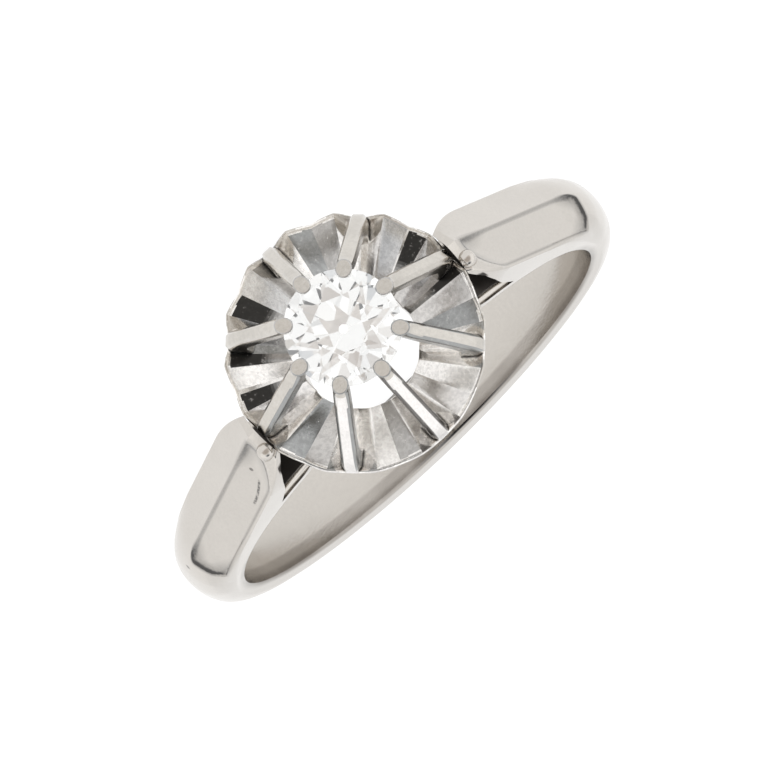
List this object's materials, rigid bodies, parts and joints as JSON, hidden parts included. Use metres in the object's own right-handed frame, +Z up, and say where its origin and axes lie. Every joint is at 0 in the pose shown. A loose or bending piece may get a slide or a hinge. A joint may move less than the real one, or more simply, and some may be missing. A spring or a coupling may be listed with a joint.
{
  "type": "solitaire ring",
  "caption": "Solitaire finger ring: an old cut round stone held high in claws over a pleated open cup, on a half round shank with long ridged shoulders.",
  "frame": {"origin": "middle of the footprint, on the floor that the ring lies on", "axes": "+Z up from the floor, -Y towards the head with the stone, +X across the shoulders; the finger hole's axis leans a few degrees from +Z towards +Y"},
  "size_m": [0.02, 0.027, 0.0092],
  "materials": {
    "shank": "polished white gold",
    "setting": "polished white gold",
    "stone": "clear, faceted"
  },
  "bodies": {
    "root": {"shank": "shank", "setting": "setting", "stone": "stone"}
  },
  "joints": []
}
